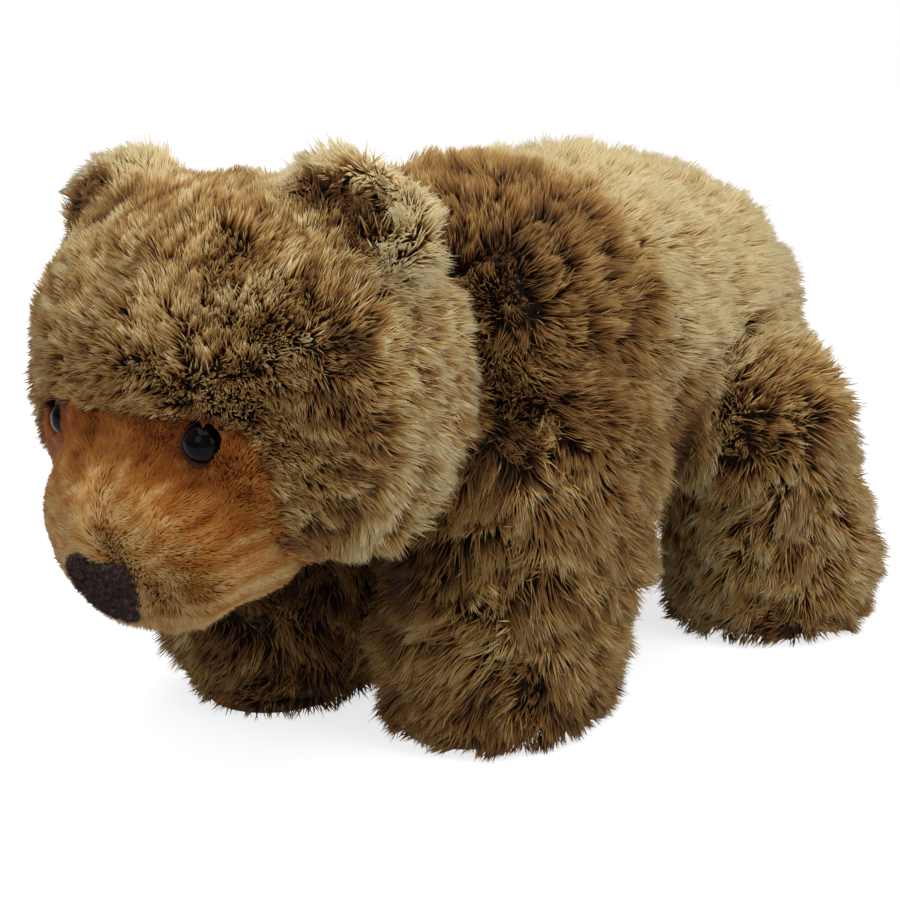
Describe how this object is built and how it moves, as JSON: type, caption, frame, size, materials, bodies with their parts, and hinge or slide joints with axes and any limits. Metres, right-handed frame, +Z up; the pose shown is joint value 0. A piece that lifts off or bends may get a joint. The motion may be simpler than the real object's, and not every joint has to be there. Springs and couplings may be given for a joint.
{
  "type": "stuffed plush brown bear toy standing on all fours",
  "caption": "Stuffed long-pile plush bear on all fours, head lowered, with a short-pile muzzle, felt nose and glossy plastic eyes; stands on its feet.",
  "frame": {"origin": "on the floor, under the centre of the bear's bounding box", "axes": "+Z up, -Y the way the bear faces, +X its left side"},
  "size_m": [0.184, 0.3174, 0.1836],
  "materials": {
    "long_pile": "long tipped plush, dark at the roots and tan at the tips",
    "short_pile": "short dense orange-brown plush",
    "sole_pile": "short brown plush",
    "nose_felt": "matt dark wool felt",
    "eye_felt": "matt dark red-brown felt",
    "eye_plastic": "polished black"
  },
  "bodies": {
    "root": {"head": "long_pile", "muzzle": "short_pile", "nose": "nose_felt", "ear_left": "long_pile", "ear_right": "long_pile", "eye_left": "eye_plastic", "eye_right": "eye_plastic", "eye_disc_left": "eye_felt", "eye_disc_right": "eye_felt", "neck": "long_pile", "trunk": "long_pile", "tail": "long_pile", "leg_front_left": "long_pile", "leg_front_right": "long_pile", "leg_hind_left": "long_pile", "leg_hind_right": "long_pile", "sole_front_left": "sole_pile", "sole_front_right": "sole_pile", "sole_hind_left": "sole_pile", "sole_hind_right": "sole_pile"}
  },
  "joints": []
}
